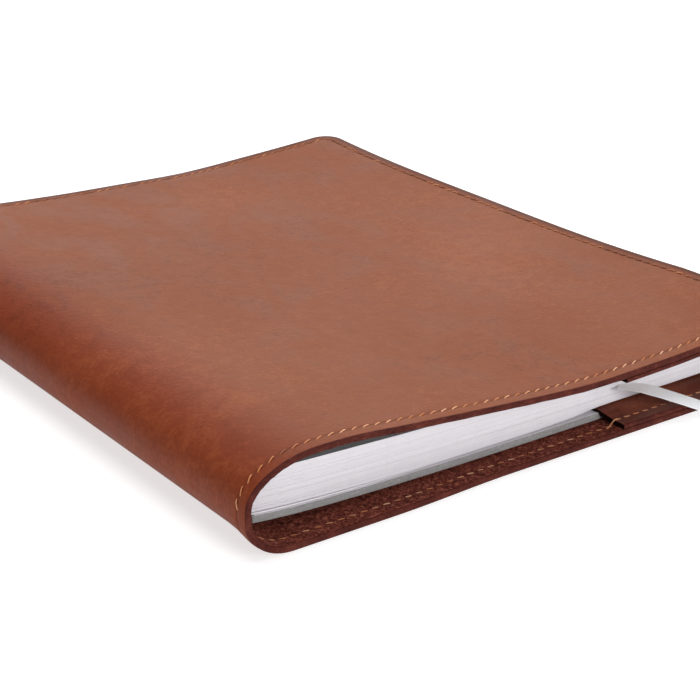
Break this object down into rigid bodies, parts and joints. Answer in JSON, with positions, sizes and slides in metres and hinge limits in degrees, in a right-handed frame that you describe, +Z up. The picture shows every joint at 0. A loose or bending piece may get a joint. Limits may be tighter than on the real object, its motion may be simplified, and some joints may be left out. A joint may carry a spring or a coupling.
{
  "type": "leather notebook cover",
  "caption": "Stitched leather wrap cover with inner pockets, closed round a hard-cover notebook with a ribbon marker; it opens flat about its spine.",
  "frame": {"origin": "under the middle of the closed cover, on the surface it lies on", "axes": "+X from the spine to the fore edge, +Y from the tail to the head along the spine, +Z up through the closed cover"},
  "size_m": [0.2182, 0.3125, 0.0298],
  "materials": {
    "cover_leather": "satin",
    "pocket_leather": "satin",
    "thread": "satin",
    "board": "matte",
    "paper": "matte",
    "ribbon": "satin"
  },
  "bodies": {
    "back": {"back_panel": "cover_leather", "back_pocket": "pocket_leather", "back_stitches": "thread", "back_board": "board", "back_pastedown": "paper", "back_flyleaf": "paper", "signature_01": "paper", "signature_02": "paper", "signature_03": "paper", "signature_04": "paper", "signature_05": "paper", "signature_06": "paper", "signature_07": "paper", "signature_08": "paper", "ribbon_marker": "ribbon", "ribbon_tail": "ribbon"},
    "spine": {"spine_panel": "cover_leather", "spine_stitches": "thread", "case_spine": "board", "mull": "paper"},
    "front": {"front_panel": "cover_leather", "front_pocket": "pocket_leather", "front_stitches": "thread", "front_board": "board", "front_pastedown": "paper"},
    "leaves_09": {"signature_09": "paper"},
    "leaves_10": {"signature_10": "paper"},
    "leaves_11": {"signature_11": "paper"},
    "leaves_12": {"signature_12": "paper", "front_flyleaf": "paper"}
  },
  "joints": [
    {"name": "spine_hinge", "type": "hinge", "parent": "back", "child": "spine", "pos_m": [-0.10666, 0, 0.00234], "axis": [0, -1, 0], "range_deg": [0, 90]},
    {"name": "front_hinge", "type": "hinge", "parent": "spine", "child": "front", "pos_m": [-0.10476, 0, 0.02556], "axis": [0, -1, 0], "range_deg": [0, 90]},
    {"name": "leaves_09_turn", "type": "hinge", "parent": "back", "child": "leaves_09", "pos_m": [-0.105, 0, 0.01557], "axis": [0, -1, 0], "range_deg": [0, 174]},
    {"name": "leaves_10_turn", "type": "hinge", "parent": "back", "child": "leaves_10", "pos_m": [-0.105, 0, 0.01557], "axis": [0, -1, 0], "range_deg": [0, 176]},
    {"name": "leaves_11_turn", "type": "hinge", "parent": "back", "child": "leaves_11", "pos_m": [-0.105, 0, 0.01557], "axis": [0, -1, 0], "range_deg": [0, 178]},
    {"name": "leaves_12_turn", "type": "hinge", "parent": "back", "child": "leaves_12", "pos_m": [-0.105, 0, 0.01557], "axis": [0, -1, 0], "range_deg": [0, 180]}
  ],
  "couplings": [
    {"joint": "front_hinge", "follows": "spine_hinge", "ratio": 1},
    {"joint": "leaves_09_turn", "follows": "spine_hinge", "ratio": 1.93},
    {"joint": "leaves_10_turn", "follows": "spine_hinge", "ratio": 1.95},
    {"joint": "leaves_11_turn", "follows": "spine_hinge", "ratio": 1.97},
    {"joint": "leaves_12_turn", "follows": "spine_hinge", "ratio": 1.99}
  ]
}
